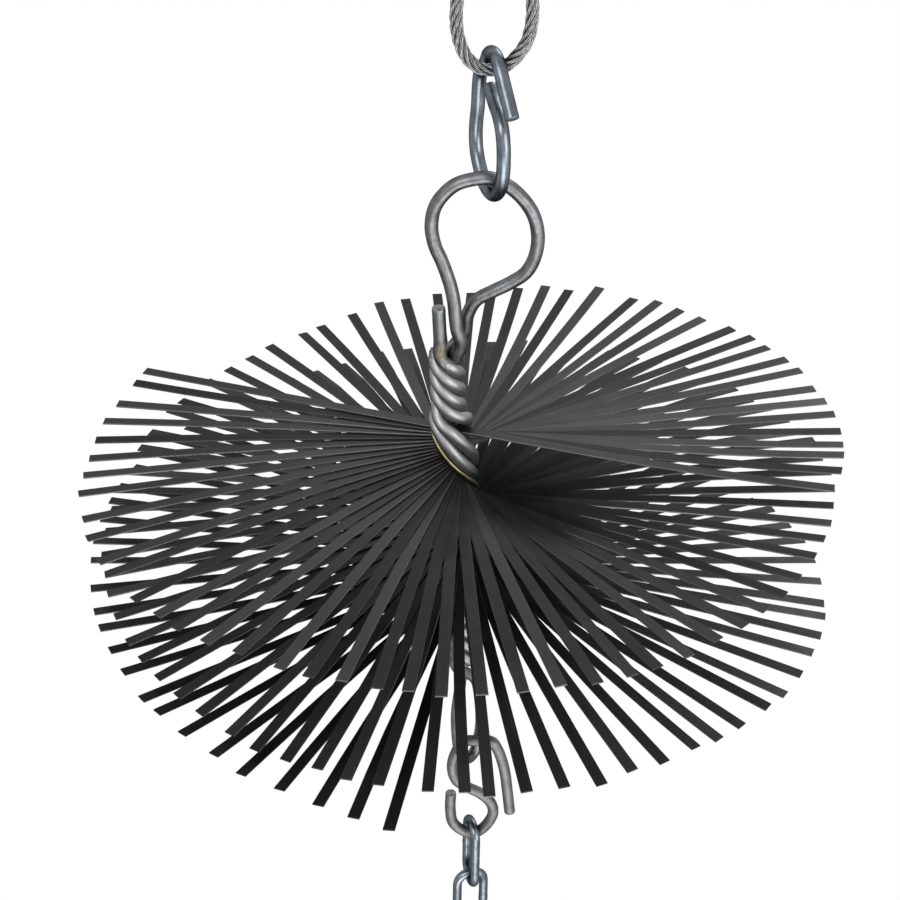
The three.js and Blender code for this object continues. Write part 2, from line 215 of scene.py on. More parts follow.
def spaced(line, step):
    """The same line with its points an even distance apart."""
    lengths = [0.0]
    for a, b in zip(line, line[1:]):
        lengths.append(lengths[-1] + (b - a).length)
    count = max(2, round(lengths[-1] / step))
    even = []
    at = 0
    for k in range(count + 1):
        wanted = lengths[-1] * k / count
        while at < len(line) - 2 and lengths[at + 1] < wanted:
            at += 1
        share = (wanted - lengths[at]) / max(lengths[at + 1] - lengths[at], 1e-12)
        even.append(line[at].lerp(line[at + 1], min(share, 1)))
    return even


def arc(across, up, radius, start, end, count):
    """Points of an arc as (across, up) pairs. Start and end are in degrees."""
    turns = [math.radians(start + (end - start) * k / count) for k in range(count + 1)]
    return [(across + radius * math.cos(a), up + radius * math.sin(a)) for a in turns]


def upright(outline, turn=0.0, z=0.0):
    """An outline of (across, up) pairs, stood on a plane turned about Z."""
    return [Vector((a * math.cos(turn), a * math.sin(turn), z + up)) for a, up in outline]


def rope_route():
    right = [
        (0.22, 0.9), (0.62, 0.68), (0.94, 0.46), (0.98, 0.31), (0.87, 0.18), (0.615, 0.085),
        (0.31, 0.023),
    ]
    left = [
        (0.22, 0.9), (0.62, 0.68), (0.94, 0.46), (1, 0.31), (0.92, 0.178), (0.69, 0.068),
        (0.36, 0.01),
    ]
    high = [(0.35, 0.12), (0.78, 0.36), (1, 0.66), (0.86, 0.87), (0.5, 0.975)]
    right = [(w * LOWER_EYE[0] / 2, LOWER_EYE_BOTTOM + h * LOWER_EYE[1]) for w, h in right]
    left = [(-w * LOWER_EYE[0] / 2, LOWER_EYE_BOTTOM + h * LOWER_EYE[1]) for w, h in left]
    high = [(w * UPPER_EYE[0] / 2, UPPER_FERRULE + FERRULE_LENGTH + h * UPPER_EYE[1]) for w, h in high]
    outline = [
        (TWIN, LOWER_FERRULE + FERRULE_LENGTH + ROPE_TAIL),
        (TWIN, LOWER_FERRULE + FERRULE_LENGTH / 2),
        (TWIN, LOWER_FERRULE),
        *right,
        (0, LOWER_EYE_BOTTOM),
        *reversed(left),
        (-TWIN, LOWER_FERRULE),
        (-TWIN, LOWER_FERRULE + FERRULE_LENGTH),
        (-TWIN, UPPER_FERRULE),
        (-TWIN, UPPER_FERRULE + FERRULE_LENGTH),
        *[(-x, z) for x, z in high],
        (0, ROPE_RADIUS),
        *reversed(high),
        (TWIN, UPPER_FERRULE + FERRULE_LENGTH),
        (TWIN, UPPER_FERRULE + FERRULE_LENGTH / 2),
        (TWIN, UPPER_FERRULE - ROPE_TAIL),
    ]
    return upright(outline)


def top_hook_route():
    reach, drop = HOOK_ARM
    spine = [(-0.64, 0.862), (-0.915, 0.785), (-1.02, 0.66), (-1.06, 0.524), (-1.16, 0.4), (-1.18, 0.3)]
    bottom = [
        (-1.12, 0.215), (-0.98, 0.145), (-0.73, 0.075), (-0.42, 0.018), (-0.12, 0), (0.17, 0.006),
        (0.5, 0.052), (0.74, 0.13), (0.86, 0.22),
    ]
    lap = [(0.89, 0.33), (0.84, 0.45), (0.7, 0.545), (0.38, 0.605), (-0.1, 0.64), (-0.62, 0.712)]
    outline = [
        (reach, HOOK_LENGTH - drop),
        (0.63 * reach, HOOK_LENGTH - 0.56 * drop),
        *arc(0, HOOK_LENGTH - HOOK_BEND, HOOK_BEND, *HOOK_BEND_ARC),
        *[(w * HOOK_LOOP, h * HOOK_LENGTH) for w, h in (*spine, *bottom, *lap)],
    ]
    route = upright(outline, HOOK_TURN - math.pi / 2, HOOK_BOTTOM)
    beside = Vector((math.cos(HOOK_TURN), math.sin(HOOK_TURN), 0)) * WIRE_RADIUS
    for point, share in zip(route[-len(LAP_ASIDE):], LAP_ASIDE):
        point += beside * share
    return route


def summed(step, index):
    """Steps added up to a strip, where they grow evenly down the stack."""
    first, last = step
    return first * index + (last - first) * index * index / (2 * STRIPS)


def strip_drop(index):
    return summed(STRIP_PITCH, index)


def strip_turn(index):
    return summed(STRIP_TWIST, index)


NECK_TWIST = 2 * math.pi / NECK_PITCH
TOP_TWIST = STRIP_TWIST[0] / STRIP_PITCH[0]
BOTTOM_TWIST = STRIP_TWIST[1] / STRIP_PITCH[1]


def past_turn(length, twist):
    """Turn of the core over a length past the end strips."""
    return twist * min(length, RUN_OUT) + NECK_TWIST * max(length - RUN_OUT, 0)


STACK = strip_drop(STRIPS - 1)
CORE_BOTTOM = -STACK - LOWER_NECK
FIRST_TURN = NECK_TURN - math.pi / 4 + past_turn(UPPER_NECK, TOP_TWIST)
LAST_TURN = FIRST_TURN + strip_turn(STRIPS - 1)
LOOP_TURN = LAST_TURN + past_turn(LOWER_NECK, BOTTOM_TWIST)


def clear_radius(diameter, twist, between):
    """Radius at which neighbouring wires of a twist just clear each other."""
    radius = diameter / 2
    nearest = 0
    while nearest < diameter + SEAT_GAP:
        radius += SEAT_GAP / 10
        nearest = min(
            math.hypot(2 * radius * math.sin(between * (1 - k / CLEARANCE_SAMPLES) / 2),
                       between * k / CLEARANCE_SAMPLES / twist)
            for k in range(CLEARANCE_SAMPLES))
    return radius


def strip_radius():
    """Radius at which the wires clear the tilted strips between them."""
    side = math.sin(STRIP_SPREAD)
    first = (STRIP_SIZE[1] / 2 + WIRE_RADIUS) / side
    tilt_shift = first * math.sin(STRIP_TILT[1]) * TOP_TWIST * first
    slope = first * TOP_TWIST * math.cos(STRIP_SPREAD)
    half = STRIP_SIZE[1] / 2 + WIRE_RADIUS * math.hypot(1, slope) + STRIP_CLEAR + tilt_shift
    return max(half / side, clear_radius(WIRE, TOP_TWIST, math.pi - 2 * STRIP_SPREAD))


NECK_RADIUS = clear_radius(WIRE + SEAT_GAP / 2, NECK_TWIST, math.pi / 2)
CORE_RADIUS = strip_radius()


def core_stations():
    """Height and turn of the strips' line, from the top of the upper neck down."""
    def neck(length):
        count = math.ceil(length * NECK_TWIST / NECK_STATION)
        return [length * k / count for k in range(count + 1)]
    between = range(STATION_STRIPS, STRIPS - 2, STATION_STRIPS)
    return [
        *[(past, FIRST_TURN - past_turn(past, TOP_TWIST)) for past in reversed(neck(UPPER_NECK))],
        *[(-strip_drop(k), FIRST_TURN + strip_turn(k)) for k in between],
        *[(-STACK - past, LAST_TURN + past_turn(past, BOTTOM_TWIST)) for past in neck(LOWER_NECK)],
    ]


def eased(value, start, over):
    """Nought before the start, one past the end, and smooth between."""
    share = min(max((value - start) / over, 0), 1)
    return share * share * (3 - 2 * share)


def wire_point(station, side, along):
    """A wire's place beside one arm of the strips (side 0 or 1), turned on or back from it."""
    z, turn = station
    opening = 1 - eased(max(z, -STACK - z, 0), RUN_OUT, SPREAD_LENGTH)
    radius = NECK_RADIUS - NECK_SQUEEZE + (CORE_RADIUS - NECK_RADIUS + NECK_SQUEEZE) * opening
    spread = NECK_SPREAD + (STRIP_SPREAD - NECK_SPREAD) * opening
    angle = turn + side * math.pi + along * spread
    return Vector((radius * math.cos(angle), radius * math.sin(angle), z)) + bend_at(z)


def bend_at(z):
    """The upper neck's bend away from the line of the strips."""
    return NECK_BEND * eased(z, BEND_FROM, BEND_OVER)


def leg(side, along, bottom):
    """One leg of a twisted wire, beside one arm of the strips, from the neck's top down."""
    return [wire_point(station, side, along) for station in core_stations() if station[0] >= bottom]


def eye_wire_route():
    shares = [
        (0.105, -1.35, 0.075), (0.068, -1.6, 0.169), (0.047, -1.1, 0.3375), (0.017, -0.65, 0.427),
        (-0.05, -0.2, 0.55), (-0.106, 0, 0.632), (-0.13, 0, 0.745), (-0.077, 0, 0.863), (0.1, 0, 0.967),
        (0.29, 0, 0.9985), (0.44, 0, 1), (0.643, 0, 0.933), (0.812, 0, 0.806), (0.863, 0, 0.675),
        (0.833, 0, 0.557), (0.744, 0.2, 0.46), (0.598, 0.45, 0.399), (0.41, 0.7, 0.343),
        (0.258, 0.95, 0.291), (0.175, 1.1, 0.209), (0.13, 1.35, 0.0995),
    ]
    eye = [Vector((w * EYE_SIZE[0], d * WIRE_RADIUS, UPPER_NECK + h * EYE_SIZE[1])) for w, d, h in shares]
    left = leg(0, 1, CORE_BOTTOM + LEG_TRIM)
    right = leg(1, -1, CORE_BOTTOM + LEG_TRIM)
    return [*reversed(left), *eye, *right]


def lower_eye_wire_route():
    half = LOW_LOOP[0] / 2
    rise = LOW_LOOP[1]
    shares = [(0.62, 0.79), (0.93, 0.605), (1, 0.4), (0.92, 0.22)]
    side = [(w * half, h * rise) for w, h in shares]
    outline = [
        *[(-x, z) for x, z in side],
        *arc(0, LOW_LOOP_RADIUS, LOW_LOOP_RADIUS, *LOW_LOOP_ARC),
        *reversed(side),
    ]
    loop = upright(outline, LOOP_TURN + math.pi, CORE_BOTTOM - rise)
    first = leg(0, -1, CORE_BOTTOM)
    second = leg(1, 1, CORE_BOTTOM)
    end = Vector((STUB_ASIDE[0] * WIRE_RADIUS, STUB_ASIDE[1] * WIRE_RADIUS, UPPER_NECK + STUB))
    foot = end.lerp(first[0], STUB_FOOT)
    foot.x = end.x
    return [end, foot, *first, *reversed(loop), *reversed(second)]


def packing_route():
    beside = (STRIP_SIZE[1] + PACKING) / 2 + PACKING_FROM_STRIP
    wire_beside = CORE_RADIUS * math.sin(STRIP_SPREAD)
    reach = WIRE_RADIUS * SLANTED_WIRE + PACKING / 2 + PACKING_FROM_WIRE
    out = CORE_RADIUS * math.cos(STRIP_SPREAD) + math.sqrt(reach ** 2 - (wire_beside - beside) ** 2)
    radius = math.hypot(out, beside) + PACKING_OUT
    route = []
    for k in range(-PACKING_ABOVE, STRIPS, STATION_STRIPS):
        angle = FIRST_TURN + strip_turn(k) + math.pi + math.atan2(beside, out)
        z = -strip_drop(k)
        route.append(Vector((radius * math.cos(angle), radius * math.sin(angle), z)) + bend_at(z))
    return route


def s_hook_route():
    shares = [
        (0.686, -0.707), (0.629, -0.461), (0.59, -0.307), (0.535, -0.179), (0.455, -0.061),
        (0.36, 0.012), (0.22, 0.010), (0.09, 0), (-0.04, -0.012), (-0.145, -0.061),
        (-0.22, -0.149), (-0.278, -0.297), (-0.21, -0.441), (-0.045, -0.499), (0.2, -0.553),
        (0.366, -0.635), (0.412, -0.733), (0.349, -0.843), (0.2, -0.955), (0.06, -1),
        (-0.1, -0.98), (-0.25, -0.912), (-0.298, -0.774), (-0.295, -0.587),
    ]
    return upright([(w * SWIVEL_SIZE[0], h * SWIVEL_SIZE[1]) for w, h in shares], SWIVEL_TURN)


# Places of the hanging groups

def brush_place():
    turn = Matrix.Rotation(-BRUSH_LEAN, 4, "Y")
    seat = turn @ Vector((EYE_HANGS_AT * EYE_SIZE[0], 0, UPPER_NECK + EYE_SIZE[1]))
    return Matrix.Translation(Vector((0, 0, EYE_TOP)) - seat) @ turn


BRUSH = brush_place()
SWIVEL = Matrix.Translation(BRUSH @ Vector((0, 0, CORE_BOTTOM - LOW_LOOP[1] + LOW_SEAT)))


def link_place(number):
    seat = SWIVEL @ upright([(SWIVEL_SEAT, -SWIVEL_SIZE[1])], SWIVEL_TURN)[0]
    seat.z += WIRE_RADIUS + LINK_WIRE / 2 + LINK_CLEAR - number * (LINK_PITCH - SEAT_GAP)
    quarter = math.pi / 2 if number % 2 == 0 else 0
    return Matrix.Translation(seat) @ Matrix.Rotation(LINK_TURN + quarter, 4, "Z")


# Mesh building

def piece(name, mesh, body, replaced, materials):
    """A finished piece at the origin, riding on its body in place of a node."""
    made = bpy.data.objects.new(name, mesh)
    bpy.context.collection.objects.link(made)
    for finish in materials:
        mesh.materials.append(finish)
    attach(made, body)
    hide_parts(replaced)
    return made


def to_mesh(bm, name):
    """A mesh of that name, in place of the working one."""
    mesh = bpy.data.meshes.new(name)
    bm.to_mesh(mesh)
    bm.free()
    return mesh


def frames_along(route):
    """A frame at each point, its Z along the route, turned as little as possible."""
    ahead = [(b - a).normalized() for a, b in zip(route, route[1:])]
    tangents = [ahead[0], *[(a + b).normalized() for a, b in zip(ahead, ahead[1:])], ahead[-1]]
    turn = tangents[0].to_track_quat("Z", "Y")
    frames = []
    for index, (point, tangent) in enumerate(zip(route, tangents)):
        if index:
            turn = tangents[index - 1].rotation_difference(tangent) @ turn
        frames.append(Matrix.Translation(point) @ turn.to_matrix().to_4x4())
    return frames


def sweep(bm, route, radius, sides, thickness):
    """A round bar pushed along a route ring by ring. Returns its two end faces."""
    lay = bm.verts.layers.float_vector.new("lay")
    frames = frames_along(route)
    last = len(frames) - 1
    ring = bmesh.ops.create_circle(bm, cap_ends=True, segments=sides,
                                   radius=radius * thickness(0), matrix=frames[0])["verts"]
    start = end = ring[0].link_faces[0]
    along = 0.0
    mark(ring, lay, frames[0], radius, along)
    for k in range(1, last + 1):
        grown = bmesh.ops.extrude_face_region(bm, geom=[end])["geom"]
        if end is not start:
            bmesh.ops.delete(bm, geom=[end], context="FACES_ONLY")
        ring = [g for g in grown if isinstance(g, bmesh.types.BMVert)]
        end = next(g for g in grown if isinstance(g, bmesh.types.BMFace))
        swell = thickness(k / last) / thickness((k - 1) / last)
        move = frames[k] @ Matrix.Diagonal((swell, swell, 1, 1)) @ frames[k - 1].inverted()
        bmesh.ops.transform(bm, matrix=move, verts=ring)
        along += (route[k] - route[k - 1]).length
        mark(ring, lay, frames[k], radius, along)
    for face in bm.faces:
        face.smooth = len(face.verts) == 4
    return start, end


def mark(ring, lay, frame_here, radius, along):
    """Notes on each vertex where it lies round and along the bar, for the drawn grain."""
    back = frame_here.inverted()
    for vert in ring:
        local = back @ vert.co
        vert[lay] = (local.x / radius, local.y / radius, along)


def round_off(bm, faces):
    """Rounds the rims of sheared ends."""
    edges = [edge for face in faces for edge in face.edges]
    bmesh.ops.bevel(bm, geom=edges, offset=END_EDGE, segments=2, profile=0.5,
                    affect="EDGES", material=-1)


def plain(share):
    """A bar of the same thickness all along."""
    return 1.0


def eased_loop(share):
    """The lower wire is a hair thinner round its eye than where the core squeezes it."""
    return 1 - (1 - WIRE / CORE_WIRE) * math.exp(-((share - LOOP_MIDDLE) / LOOP_REACH) ** FLAT_TOPPED)


def bent_wire(name, route, diameter, place=Matrix(), sides=ROUND_SIDES, thickness=plain):
    """A bent round wire with sheared ends, set in place."""
    bm = bmesh.new()
    ends = sweep(bm, smooth_route(route, ROUND_STEP), diameter / 2, sides, thickness)
    bmesh.ops.recalc_face_normals(bm, faces=bm.faces)
    for face in ends:
        face.material_index = 1
    round_off(bm, ends)
    bmesh.ops.transform(bm, matrix=place, verts=bm.verts)
    return to_mesh(bm, name)


def laid_rope(name, line):
    """Six strands of six wires, laid round a rope's centre line of even steps."""
    centre = frames_along(line)
    curve = bpy.data.curves.new(name, "CURVE")
    curve.dimensions = "3D"
    strand_radius = ROPE_RADIUS / 3
    strand_reach = ROPE_RADIUS * 2 / 3
    wire_reach = strand_radius * WIRE_MIDDLE
    curve.bevel_depth = strand_radius * WIRE_THICK
    curve.bevel_resolution = 1
    curve.use_fill_caps = True
    for strand in range(ROPE_STRANDS):
        for wire in range(STRAND_WIRES):
            spline = curve.splines.new("POLY")
            spline.points.add(len(centre) - 1)
            for k, frame_here in enumerate(centre):
                along = ROPE_STEP * k
                round_rope = 2 * math.pi * (strand / ROPE_STRANDS + along / STRAND_LAY)
                round_strand = 2 * math.pi * (wire / STRAND_WIRES - along / WIRE_LAY) + round_rope
                out = Vector((math.cos(round_rope), math.sin(round_rope), 0))
                point = out * (strand_reach + wire_reach * math.cos(round_strand - round_rope))
                point += Vector((-out.y, out.x, 0)) * wire_reach * math.sin(round_strand - round_rope)
                spline.points[k].co = (*(frame_here @ point), 1)
    holder = bpy.data.objects.new(name, curve)
    mesh = bpy.data.meshes.new_from_object(holder)
    bpy.data.objects.remove(holder)
    bpy.data.curves.remove(curve)
    mesh.shade_smooth()
    return mesh


def pressed_ferrule(name, height):
    """An oval sleeve squeezed over two lays of rope."""
    bore = ROPE_RADIUS + SEAT_GAP
    bm = bmesh.new()
    for radius in (bore, bore + FERRULE_WALL):
        bmesh.ops.create_circle(bm, segments=FERRULE_SIDES, radius=radius)
    for vert in bm.verts:
        if abs(vert.co.x) > SEAT_GAP / 10:
            vert.co.x += math.copysign(TWIN, vert.co.x)
    rim = bmesh.ops.bridge_loops(bm, edges=bm.edges[:])["faces"]
    grown = bmesh.ops.extrude_face_region(bm, geom=rim)["geom"]
    top = [g for g in grown if isinstance(g, bmesh.types.BMVert)]
    bmesh.ops.translate(bm, vec=(0, 0, FERRULE_LENGTH), verts=top)
    bmesh.ops.recalc_face_normals(bm, faces=bm.faces)
    walls = [e for e in bm.edges if abs(e.verts[0].co.z - e.verts[1].co.z) > FERRULE_WALL]
    rims = [e for e in bm.edges if e not in walls and e.calc_face_angle(0) > 1]
    bmesh.ops.subdivide_edges(bm, edges=walls, cuts=FERRULE_CUTS, use_grid_fill=True)
    bmesh.ops.bevel(bm, geom=rims, offset=FERRULE_EDGE, segments=3, profile=0.5,
                    affect="EDGES", material=-1)
    squeeze(bm, bore + FERRULE_WALL / 2)
    bmesh.ops.translate(bm, vec=(0, 0, height), verts=bm.verts)
    for face in bm.faces:
        face.smooth = True
    return to_mesh(bm, name)


def squeeze(bm, inside):
    """Draws the sleeve's waist in a little and leaves the press's fine ridge down both sides."""
    for vert in bm.verts:
        middle = math.copysign(min(abs(vert.co.x), TWIN), vert.co.x)
        out = Vector((vert.co.x - middle, vert.co.y, 0))
        if out.length < inside:
            continue
        off_middle = abs(2 * vert.co.z / FERRULE_LENGTH - 1)
        waist = FERRULE_WAIST * (1 - off_middle ** WAIST_POWER)
        ridge = FERRULE_RIDGE * math.exp(-(vert.co.y / FERRULE_EDGE) ** 2)
        vert.co += out.normalized() * (ridge - waist)


def link_line():
    """Centre line of a link, from the middle of one straight side round to itself."""
    bend = (LINK_WIDTH - LINK_WIRE) / 2
    low = -(LINK_PITCH + LINK_WIRE) / 2
    half = -low - bend
    outline = [
        (bend, low),
        *arc(0, low + half, bend, 0, 180, LINK_BEND_STEPS),
        *arc(0, low - half, bend, 180, 360, LINK_BEND_STEPS),
        (bend, low),
    ]
    return spaced(upright(outline), ROUND_STEP)


def chain_link(name, place):
    """A link of round wire, closed by a weld halfway down one side."""
    def weld(share):
        return 1 + LINK_WELD * math.exp(-(min(share, 1 - share) / LINK_WELD_REACH) ** 2)
    bm = bmesh.new()
    ends = sweep(bm, link_line(), LINK_WIRE / 2, ROUND_SIDES, weld)
    bmesh.ops.delete(bm, geom=list(ends), context="FACES_ONLY")
    bmesh.ops.remove_doubles(bm, verts=bm.verts, dist=SEAT_GAP / 3)
    bmesh.ops.recalc_face_normals(bm, faces=bm.faces)
    bm.normal_update()
    for vert in bm.verts:
        vert.co += vert.normal * LINK_ROUGH * noise.noise(vert.co * LINK_ROUGH_SCALE)
    bmesh.ops.transform(bm, matrix=place, verts=bm.verts)
    return to_mesh(bm, name)


# Strips

def strip_blank():
    """One flat strip along X: broad faces, rolled edges, sheared ends."""
    length, width, thickness = STRIP_SIZE
    bm = bmesh.new()
    bmesh.ops.create_cube(bm, size=1, matrix=Matrix.Diagonal((length, width, thickness, 1)))
    long_edges = [e for e in bm.edges if e.calc_length() > length / 2]
    bmesh.ops.bevel(bm, geom=long_edges, offset=STRIP_EDGE, segments=1, profile=0.5,
                    affect="EDGES", material=-1)
    # Broad faces have material 0, rolled edges 1 and sheared ends 2
    for face in bm.faces:
        face.normal_update()
        face.material_index = 2 if abs(face.normal.x) > 0.5 else int(abs(face.normal.z) < 0.9)
    long_edges = [e for e in bm.edges if e.calc_length() > length / 2]
    bmesh.ops.subdivide_edges(bm, edges=long_edges, cuts=STRIP_CUTS, use_grid_fill=True)
    lay = bm.verts.layers.float_vector.new("lay")
    for vert in bm.verts:
        vert[lay] = (vert.co.y, 0, vert.co.x)
    return to_mesh(bm, "strip_blank")


def looseness(index):
    """The lowest strips have slid outwards and sag, the last one most."""
    return math.exp((index - STRIPS + 1) / LOOSE_STRIPS)


def droop(index):
    """How far one arm of a strip hangs down at its tip: the lowest ones, and those at the back."""
    at_back = math.exp(-((index - BACK_MIDDLE) / BACK_SPAN) ** FLAT_TOPPED)
    return LOOSE_DROOP * looseness(index) + BACK_DROOP * at_back


def longer(index, side):
    """How much further out than its fellows one arm of a strip ends."""
    if side > 0:
        return LOW_LONG * eased(index, *LOW_LONG_START) * (1 - eased(index, *LOW_LONG_STOP))
    at_front = FRONT_LONG * eased(index, *FRONT_LONG_START) * (1 - eased(index, *FRONT_LONG_STOP))
    return at_front - FIRST_SHORT * (1 - eased(index, *FIRST_SHORT_STOP))


def strip_place(index, chance):
    """Where a strip sits in the stack, a little astray by chance."""
    share = index / (STRIPS - 1)
    turn = FIRST_TURN + strip_turn(index)
    off_centre = ROUND_MIDDLE.dot((math.cos(turn), math.sin(turn), 0))
    shift = STRIP_SHIFT[0] + (STRIP_SHIFT[1] - STRIP_SHIFT[0]) * share - off_centre
    shift += LOOSE_SLIDE * looseness(index)
    tilt = STRIP_TILT[0] + (STRIP_TILT[1] - STRIP_TILT[0]) * share
    turn += chance.gauss(0, STRIP_STRAY)
    return (BRUSH @ Matrix.Translation((0, 0, -strip_drop(index)))
            @ Matrix.Rotation(turn, 4, "Z")
            @ Matrix.Rotation(tilt, 4, "Y")
            @ Matrix.Translation((-shift + chance.uniform(-1, 1) * STRIP_UNEVEN, 0, 0)))


def set_strip(strip, lay, chance, lot):
    """Gives one strip the set of a used brush: its arms bent, twisted, raised, hung or longer."""
    arms = {side: (chance.gauss(0, STRIP_BEND), chance.gauss(0, STRIP_SWAY), chance.gauss(0, STRIP_ROLL))
            for side in (-1, 1)}
    half = STRIP_SIZE[0] / 2
    for vert in strip:
        side = 1 if vert.co.x > 0 else -1
        bend, sway, roll = arms[side]
        reach = max(abs(vert.co.x) - STRIP_STRAIGHT, 0) / (half - STRIP_STRAIGHT)
        hang = FIRST_LIFT * math.exp(-lot / FIRST_LIFT_STRIPS) if side > 0 else -droop(lot)
        vert.co.x += side * longer(lot, side) * reach
        vert.co.z += (bend + hang) * reach ** 2 + vert.co.y * roll * reach
        vert.co.y += sway * reach ** 2
        vert[lay] = (vert[lay].x, lot, vert[lay].z)


def strip_fan(name, blank, first, last):
    """The strips from first to last in one mesh, each set and placed."""
    bm = bmesh.new()
    for index in range(first, last + 1):
        chance = random.Random(STRIP_SEED + index)
        before = len(bm.verts)
        bm.from_mesh(blank)
        bm.verts.ensure_lookup_table()
        strip = bm.verts[before:]
        set_strip(strip, bm.verts.layers.float_vector["lay"], chance, index)
        bmesh.ops.transform(bm, matrix=strip_place(index, chance), verts=strip)
    return to_mesh(bm, name)


# Camera, at the photograph's angle

CAMERA_AT = (-0.0140, -0.7084, 0.17235)
CAMERA_DOWN = math.radians(34.30)
CAMERA_ROLL = math.radians(0.685)
CAMERA_LENS = 84.72
CAMERA_NEAR = 0.01

camera = bpy.data.objects.new("camera", bpy.data.cameras.new("camera"))
camera.data.lens = CAMERA_LENS
camera.data.clip_start = CAMERA_NEAR
camera.matrix_world = (Matrix.Translation(CAMERA_AT) @ Matrix.Rotation(math.pi / 2 - CAMERA_DOWN, 4, "X")
                       @ Matrix.Rotation(CAMERA_ROLL, 4, "Z"))
bpy.context.collection.objects.link(camera)
bpy.context.scene.camera = camera


# Materials

def grey(level, blue=0.0):
    """A colour of one level, a share bluer than neutral."""
    return (level * (1 - blue), level, level * (1 + blue), 1)


SPECK = grey(0.5)
SCRATCH = grey(0.16)

# Painted shade darkening the lower strips, and soot on the outer ends of all, with its reach from the core
SOOT_AND_SHADE = grey(0.006)
SHADED_FROM = 50.0
SHADED_LOW = 0.7
SOOTY_ENDS = 0.38
SOOTY_REACH = (0.04, 0.13)

# The spots on the brush's neck: crushed beside the stub, and a painted highlight that lightens it where it
# was twisted
TORN_PALE = (0.25, 0.23, 0.18, 1)
TORN_DARK = (0.07, 0.065, 0.055, 1)
TORN_ROUGH = 0.6
TORN_HEIGHT = 6.0
CRUSHED_AT = BRUSH @ Vector((-0.0026, -0.0062, 0.0395))
CRUSHED_REACH = 0.0040
# Colour of the painted highlight on the neck
PAINTED_NECK_HIGHLIGHT = grey(0.31, 0.01)
NECK_HIGHLIGHT_SHARE = 0.8
NECK_HIGHLIGHT_ROUGH = 0.47
NECK_HIGHLIGHT_AT = BRUSH @ Vector((0, 0, 0.008))
NECK_HIGHLIGHT_REACH = 0.030

# Noises of the surfaces, and the ranges in which they are read
CHIP_SCALE = 2200.0
CHIP_RANGE = (0.2, 0.6)
RAGGED_SCALE = 900.0
RAGGED_SHARE = 0.7
RAGGED_RANGE = (1.15, 1.4)
CLOUD_RANGE = (0.32, 0.68)
SPECK_FINER = 5.0
SPECK_LEVEL = 0.82
SPECK_RANGE = 0.1
LINE_RANGE = (0.38, 0.6)
LINE_SHADE = 0.4
LINE_ROUGH_RANGE = (0.3, 0.7)
LINE_RELIEF = 0.0001
STRIP_STRETCH = (1, 1, 0.2)
STRIP_LINES = (2600.0, 60.0)
STRIP_TONE_RANGE = (0.35, 1.25)
STRIP_BUMP = 0.2
STRIP_RELIEF = 0.00005
SCRATCH_RANGE = (0.6, 0.72)
SCRATCH_SHARE = 0.35
SMUDGE_SCALE = 45.0
SMUDGE_RANGE = (0.35, 0.65)
STUDIO_PALE = 0.8
STUDIO_ROUGH = 0.9

# Sockets of a mix node, where it mixes colours
MIX_LOW = 6
MIX_HIGH = 7
MIX_RESULT = 2


def add(tree, kind, inputs=None, **settings):
    """A node with its settings made and its inputs set or linked."""
    made = tree.nodes.new(kind)
    for key, value in settings.items():
        setattr(made, key, value)
    for socket, value in (inputs or {}).items():
        if isinstance(value, bpy.types.NodeSocket):
            tree.links.new(value, made.inputs[socket])
        else:
            made.inputs[socket].default_value = value
    return made


def shader_group(name, inputs, outputs):
    """An empty node group with named sockets. Inputs are (name, kind, value)."""
    group = bpy.data.node_groups.new(name, "ShaderNodeTree")
    for label, kind, value in inputs:
        socket = group.interface.new_socket(name=label, in_out="INPUT", socket_type=f"NodeSocket{kind}")
        if value is not None:
            socket.default_value = value
    for label, kind in outputs:
        group.interface.new_socket(name=label, in_out="OUTPUT", socket_type=f"NodeSocket{kind}")
    return group, add(group, "NodeGroupInput").outputs, add(group, "NodeGroupOutput").inputs


def place_group(tree, group, inputs):
    return add(tree, "ShaderNodeGroup", inputs, node_tree=group).outputs


def worked_out(tree, operation, *values):
    return add(tree, "ShaderNodeMath", dict(enumerate(values)), operation=operation).outputs[0]


def scaled(tree, vector, by):
    return add(tree, "ShaderNodeVectorMath", {0: vector, 1: by}, operation="MULTIPLY").outputs["Vector"]


def ranged(tree, value, low, high, to_low=0.0, to_high=1.0):
    """A value's place between low and high, smoothed and stretched to the second range."""
    return add(tree, "ShaderNodeMapRange", {
        "Value": value, "From Min": low, "From Max": high, "To Min": to_low, "To Max": to_high,
    }, interpolation_type="SMOOTHSTEP").outputs["Result"]


def mixed(tree, share, low, high):
    inputs = {"Factor": share, MIX_LOW: low, MIX_HIGH: high}
    return add(tree, "ShaderNodeMix", inputs, data_type="RGBA").outputs[MIX_RESULT]


def noise_over(tree, vector, scale, detail, roughness=0.5):
    return add(tree, "ShaderNodeTexNoise", {
        "Vector": vector, "Scale": scale, "Detail": detail, "Roughness": roughness,
    }).outputs["Fac"]


def drawn_grain():
    """Fine lines, left along a wire by its die and along a strip by its rolls."""
    group, given, gives = shader_group(
        "drawn_grain",
        [("Lay", "Vector", None), ("Round", "Float", 6.0), ("Along", "Float", 60.0)],
        [("Grain", "Float")])
    sizes = {"X": given["Round"], "Y": given["Round"], "Z": given["Along"]}
    stretch = add(group, "ShaderNodeCombineXYZ", sizes).outputs["Vector"]
    lines = noise_over(group, scaled(group, given["Lay"], stretch), scale=1.0, detail=3.0, roughness=0.65)
    group.links.new(lines, gives["Grain"])
    return group


